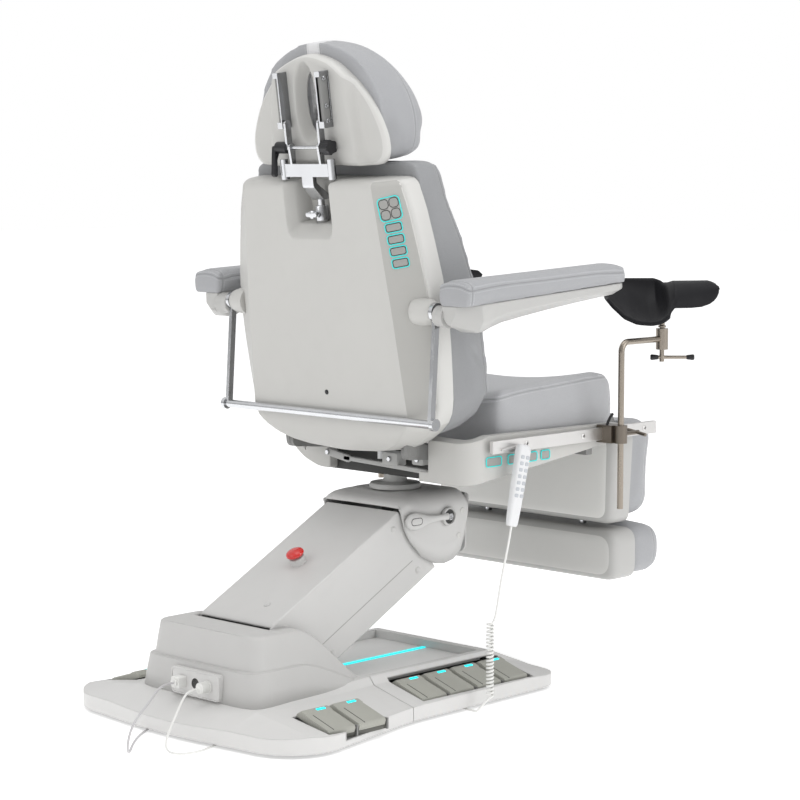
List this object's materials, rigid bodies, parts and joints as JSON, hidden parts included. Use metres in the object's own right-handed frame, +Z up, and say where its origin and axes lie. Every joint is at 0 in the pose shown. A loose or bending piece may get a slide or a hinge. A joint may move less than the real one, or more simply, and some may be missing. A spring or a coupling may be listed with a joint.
{
  "type": "examination chair",
  "caption": "Motorised examination chair on a slanting lift arm with foot pedals, tilting seat, reclining back, leg and foot sections, headrest, armrests, stirrups and a corded handset.",
  "frame": {"origin": "on the floor under the middle of the footprint of the whole chair at rest", "axes": "+Z up, the chair faces -Y, and the sitter's right-hand side is -X"},
  "size_m": [1.0264, 1.4672, 1.4414],
  "materials": {
    "shell": "smooth warm light grey moulding",
    "shell_cool": "smooth light grey moulding",
    "upholstery": "fine-grained grey synthetic leather",
    "chrome": "polished",
    "satin": "satin",
    "nickel": "satin bronze-nickel",
    "frame_grey": "satin grey paint",
    "black": "fine-textured black",
    "cradle": "smooth black moulding",
    "red": "glossy red",
    "pedal": "ribbed olive-grey",
    "light": "cyan light guide",
    "key": "grey sealed keypad with cyan rims",
    "cord": "smooth white sheath",
    "foot": "matt black rubber"
  },
  "bodies": {
    "base": {"base_chassis": "frame_grey", "base_cover_front": "shell", "base_cover_rear": "shell", "levelling_feet": "foot", "tray_light": "light", "pivot_housing": "shell", "connector_panel": "shell_cool", "rear_leads": "cord", "lead_plugs": "cord"},
    "lift_arm": {"lift_arm_cover": "shell", "lift_arm_beam": "frame_grey"},
    "lift_link": {"lift_link": "frame_grey"},
    "lift_head": {"lift_head_block": "frame_grey", "lift_head_cover": "shell"},
    "stop_button": {"emergency_stop_button": "red"},
    "lock_lever": {"swivel_lock_lever": "satin"},
    "swivel": {"swivel_column": "frame_grey"},
    "seat": {"seat_frame": "frame_grey", "seat_side_covers": "shell", "side_rails": "satin", "seat_cushion": "upholstery", "seat_keys": "key", "rail_clamps": "nickel", "handset": "shell", "handset_cord": "cord"},
    "back": {"back_frame": "frame_grey", "back_shell": "shell", "back_cushion": "upholstery", "back_keys": "key"},
    "roll_holder": {"paper_roll_holder": "chrome"},
    "headrest_post": {"headrest_bracket": "chrome"},
    "headrest_arms": {"headrest_links": "chrome", "headrest_knobs": "black"},
    "headrest": {"headrest_rails": "chrome", "headrest_shell": "shell", "headrest_cushion": "upholstery"},
    "leg": {"leg_shell": "shell", "leg_cushion": "upholstery"},
    "foot": {"foot_shell": "shell", "foot_cushion": "upholstery"},
    "armrest_left": {"armrest_body_left": "shell", "armrest_pad_left": "upholstery"},
    "stirrup_left": {"stirrup_rod_left": "nickel"},
    "cradle_left": {"stirrup_cradle_left": "cradle"},
    "pedal_left_1": {"pedal_left_1": "pedal"},
    "pedal_left_2": {"pedal_left_2": "pedal"},
    "pedal_left_3": {"pedal_left_3": "pedal"},
    "pedal_left_4": {"pedal_left_4": "pedal"},
    "pedal_left_5": {"pedal_left_5": "pedal"},
    "pedal_left_6": {"pedal_left_6": "pedal"},
    "armrest_right": {"armrest_body_right": "shell", "armrest_pad_right": "upholstery"},
    "stirrup_right": {"stirrup_rod_right": "nickel"},
    "cradle_right": {"stirrup_cradle_right": "cradle"},
    "pedal_right_1": {"pedal_right_1": "pedal"},
    "pedal_right_2": {"pedal_right_2": "pedal"},
    "pedal_right_3": {"pedal_right_3": "pedal"},
    "pedal_right_4": {"pedal_right_4": "pedal"},
    "pedal_right_5": {"pedal_right_5": "pedal"},
    "pedal_right_6": {"pedal_right_6": "pedal"}
  },
  "joints": [
    {"name": "lift", "type": "hinge", "parent": "base", "child": "lift_arm", "pos_m": [0, 0.416, 0.19], "axis": [1, 0, 0], "range_deg": [0, 20], "deforming": ["handset_cord"]},
    {"name": "lift_link_swing", "type": "hinge", "parent": "base", "child": "lift_link", "pos_m": [0, 0.396, 0.124], "axis": [1, 0, 0], "range_deg": [0, 20]},
    {"name": "lift_head_level", "type": "hinge", "parent": "lift_arm", "child": "lift_head", "pos_m": [0, 0.05631, 0.38045], "axis": [1, 0, 0], "range_deg": [-20, 0]},
    {"name": "stop_press", "type": "slide", "parent": "lift_arm", "child": "stop_button", "axis": [0, -0.4679, -0.8838], "range_m": [0, 0.004], "stiffness_N_per_m": 2000, "springref_m": -0.004},
    {"name": "lock_lever_turn", "type": "hinge", "parent": "lift_head", "child": "lock_lever", "pos_m": [-0.132, -0.08, 0.393], "axis": [1, 0, 0], "range_deg": [-35, 0]},
    {"name": "swivel_turn", "type": "hinge", "parent": "lift_head", "child": "swivel", "pos_m": [0, -0.039, 0.48], "axis": [0, 0, 1], "range_deg": [-90, 90], "deforming": ["handset_cord"]},
    {"name": "seat_tilt", "type": "hinge", "parent": "swivel", "child": "seat", "pos_m": [0, -0.059, 0.52], "axis": [-1, 0, 0], "range_deg": [0, 12], "deforming": ["handset_cord"]},
    {"name": "back_recline", "type": "hinge", "parent": "seat", "child": "back", "pos_m": [0, 0.10065, 0.55977], "axis": [-1, 0, 0], "range_deg": [0, 72]},
    {"name": "roll_holder_swing", "type": "hinge", "parent": "back", "child": "roll_holder", "pos_m": [0, 0.16331, 0.86906], "axis": [1, 0, 0], "range_deg": [0, 95]},
    {"name": "armrest_left_lift", "type": "hinge", "parent": "back", "child": "armrest_left", "pos_m": [0, 0.16331, 0.86906], "axis": [-1, 0, 0], "range_deg": [0, 85]},
    {"name": "armrest_right_lift", "type": "hinge", "parent": "back", "child": "armrest_right", "pos_m": [0, 0.16331, 0.86906], "axis": [-1, 0, 0], "range_deg": [0, 85]},
    {"name": "headrest_height", "type": "slide", "parent": "back", "child": "headrest_post", "axis": [0, 0.1392, 0.9903], "range_m": [0, 0.06]},
    {"name": "headrest_arm_turn", "type": "hinge", "parent": "headrest_post", "child": "headrest_arms", "pos_m": [0, 0.23579, 1.21231], "axis": [-1, 0, 0], "range_deg": [0, 35]},
    {"name": "headrest_tilt", "type": "hinge", "parent": "headrest_arms", "child": "headrest", "pos_m": [0, 0.24288, 1.26281], "axis": [-1, 0, 0], "range_deg": [0, 30]},
    {"name": "leg_raise", "type": "hinge", "parent": "seat", "child": "leg", "pos_m": [0, -0.509, 0.585], "axis": [-1, 0, 0], "range_deg": [0, 80]},
    {"name": "foot_extend", "type": "slide", "parent": "leg", "child": "foot", "axis": [0, 0, -1], "range_m": [0, 0.08]},
    {"name": "stirrup_left_height", "type": "slide", "parent": "seat", "child": "stirrup_left", "axis": [0, 0, 1], "range_m": [-0.08, 0.1]},
    {"name": "cradle_left_turn", "type": "hinge", "parent": "stirrup_left", "child": "cradle_left", "pos_m": [0.378, -0.524, 0.78], "axis": [0, 0, 1], "range_deg": [-35, 35]},
    {"name": "pedal_left_1_press", "type": "hinge", "parent": "base", "child": "pedal_left_1", "pos_m": [0.338, 0.469, 0.037], "axis": [0, -1, 0], "range_deg": [0, 4], "stiffness_Nm_per_rad": 12, "springref_deg": -3.44},
    {"name": "pedal_left_2_press", "type": "hinge", "parent": "base", "child": "pedal_left_2", "pos_m": [0.338, 0.381, 0.037], "axis": [0, -1, 0], "range_deg": [0, 4], "stiffness_Nm_per_rad": 12, "springref_deg": -3.44},
    {"name": "pedal_left_3_press", "type": "hinge", "parent": "base", "child": "pedal_left_3", "pos_m": [0.276, 0.13, 0.036], "axis": [0, -1, 0], "range_deg": [0, 4], "stiffness_Nm_per_rad": 12, "springref_deg": -3.44},
    {"name": "pedal_left_4_press", "type": "hinge", "parent": "base", "child": "pedal_left_4", "pos_m": [0.276, 0.042, 0.036], "axis": [0, -1, 0], "range_deg": [0, 4], "stiffness_Nm_per_rad": 12, "springref_deg": -3.44},
    {"name": "pedal_left_5_press", "type": "hinge", "parent": "base", "child": "pedal_left_5", "pos_m": [0.276, -0.046, 0.036], "axis": [0, -1, 0], "range_deg": [0, 4], "stiffness_Nm_per_rad": 12, "springref_deg": -3.44},
    {"name": "pedal_left_6_press", "type": "hinge", "parent": "base", "child": "pedal_left_6", "pos_m": [0.276, -0.134, 0.036], "axis": [0, -1, 0], "range_deg": [0, 4], "stiffness_Nm_per_rad": 12, "springref_deg": -3.44},
    {"name": "stirrup_right_height", "type": "slide", "parent": "seat", "child": "stirrup_right", "axis": [0, 0, 1], "range_m": [-0.08, 0.1]},
    {"name": "cradle_right_turn", "type": "hinge", "parent": "stirrup_right", "child": "cradle_right", "pos_m": [-0.378, -0.524, 0.78], "axis": [0, 0, 1], "range_deg": [-35, 35]},
    {"name": "pedal_right_1_press", "type": "hinge", "parent": "base", "child": "pedal_right_1", "pos_m": [-0.338, 0.469, 0.037], "axis": [0, 1, 0], "range_deg": [0, 4], "stiffness_Nm_per_rad": 12, "springref_deg": -3.44},
    {"name": "pedal_right_2_press", "type": "hinge", "parent": "base", "child": "pedal_right_2", "pos_m": [-0.338, 0.381, 0.037], "axis": [0, 1, 0], "range_deg": [0, 4], "stiffness_Nm_per_rad": 12, "springref_deg": -3.44},
    {"name": "pedal_right_3_press", "type": "hinge", "parent": "base", "child": "pedal_right_3", "pos_m": [-0.276, 0.13, 0.036], "axis": [0, 1, 0], "range_deg": [0, 4], "stiffness_Nm_per_rad": 12, "springref_deg": -3.44},
    {"name": "pedal_right_4_press", "type": "hinge", "parent": "base", "child": "pedal_right_4", "pos_m": [-0.276, 0.042, 0.036], "axis": [0, 1, 0], "range_deg": [0, 4], "stiffness_Nm_per_rad": 12, "springref_deg": -3.44},
    {"name": "pedal_right_5_press", "type": "hinge", "parent": "base", "child": "pedal_right_5", "pos_m": [-0.276, -0.046, 0.036], "axis": [0, 1, 0], "range_deg": [0, 4], "stiffness_Nm_per_rad": 12, "springref_deg": -3.44},
    {"name": "pedal_right_6_press", "type": "hinge", "parent": "base", "child": "pedal_right_6", "pos_m": [-0.276, -0.134, 0.036], "axis": [0, 1, 0], "range_deg": [0, 4], "stiffness_Nm_per_rad": 12, "springref_deg": -3.44}
  ],
  "couplings": [
    {"joint": "lift_link_swing", "follows": "lift", "ratio": 1},
    {"joint": "lift_head_level", "follows": "lift", "ratio": -1}
  ]
}
